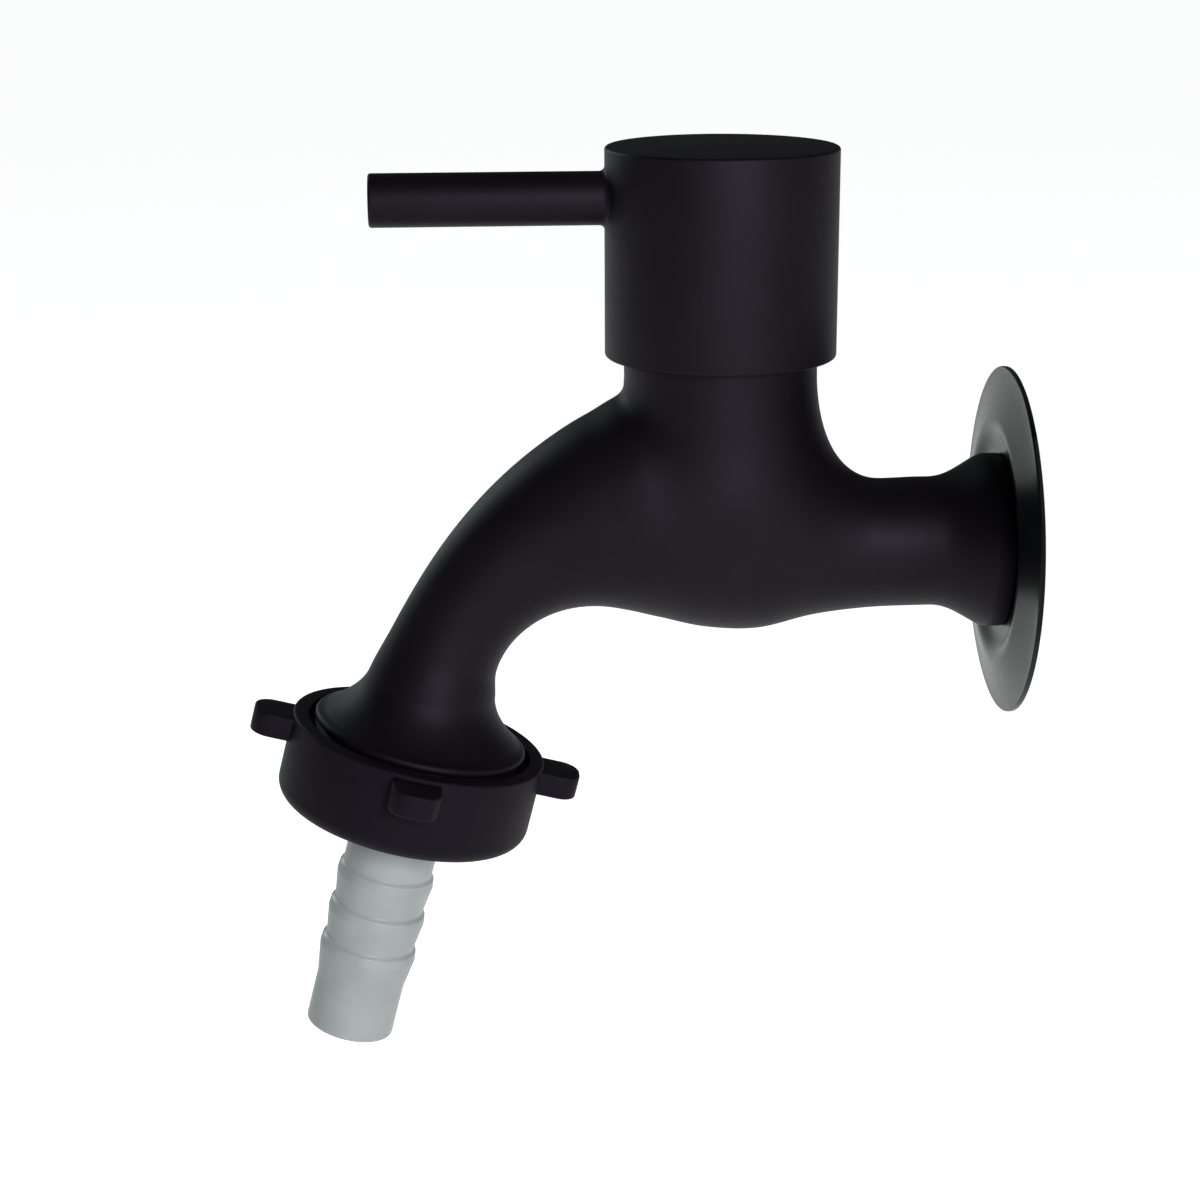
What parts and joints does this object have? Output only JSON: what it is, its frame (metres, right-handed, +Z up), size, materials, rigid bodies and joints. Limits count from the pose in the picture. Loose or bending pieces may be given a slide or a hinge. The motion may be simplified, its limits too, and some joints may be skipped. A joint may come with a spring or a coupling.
{
  "type": "laundry tub tap",
  "caption": "Wall-mounted quarter-turn tap with a curved spout, a pin lever on a round hub, and a lugged union nut holding a barbed hose tail.",
  "frame": {"origin": "on the axis of the inlet thread, in the plane of the wall that the wall flange lies on", "axes": "+X runs into the wall along the inlet, +Z is up along the handle's turning axis, +Y is square to the plane in which the spout bends"},
  "size_m": [0.1322, 0.0536, 0.1418],
  "materials": {
    "black_enamel": "matt black powder coat on a casting",
    "black_sheet": "matt black powder coat on pressed sheet",
    "black_plastic": "moulded, matt",
    "grey_plastic": "moulded, matt",
    "brass": "turned",
    "steel": "plain",
    "white_plastic": "moulded",
    "ceramic": "lapped ceramic",
    "rubber": "moulded black rubber",
    "fibre": "pressed red fibre"
  },
  "bodies": {
    "body": {"tap_body": "black_enamel", "wall_flange": "black_sheet", "headwork_body": "brass", "headwork_gasket": "fibre", "thrust_washer": "white_plastic", "fixed_disc": "ceramic", "seat_seal": "rubber"},
    "handle": {"handle": "black_enamel", "grub_screw": "steel", "spline_bush": "white_plastic", "spindle": "brass", "spindle_circlip": "steel", "spindle_orings": "rubber", "turning_disc": "ceramic"},
    "hose_tail": {"hose_tail": "grey_plastic", "hose_washer": "rubber"},
    "union_nut": {"union_nut": "black_plastic"}
  },
  "joints": [
    {"name": "handle_turn", "type": "hinge", "parent": "body", "child": "handle", "pos_m": [-0.045, 0, 0.0459], "axis": [0, 0, 1], "range_deg": [0, 90]},
    {"name": "tail_drop", "type": "slide", "parent": "body", "child": "hose_tail", "axis": [-0.247, 0, -0.969], "range_m": [0, 0.0047]},
    {"name": "nut_turn", "type": "hinge", "parent": "hose_tail", "child": "union_nut", "pos_m": [-0.09328, 0, -0.03571], "axis": [-0.247, 0, -0.969], "range_deg": [0, 720]}
  ],
  "couplings": [
    {"joint": "tail_drop", "follows": "nut_turn", "m_per_rad": 0.0003675}
  ]
}
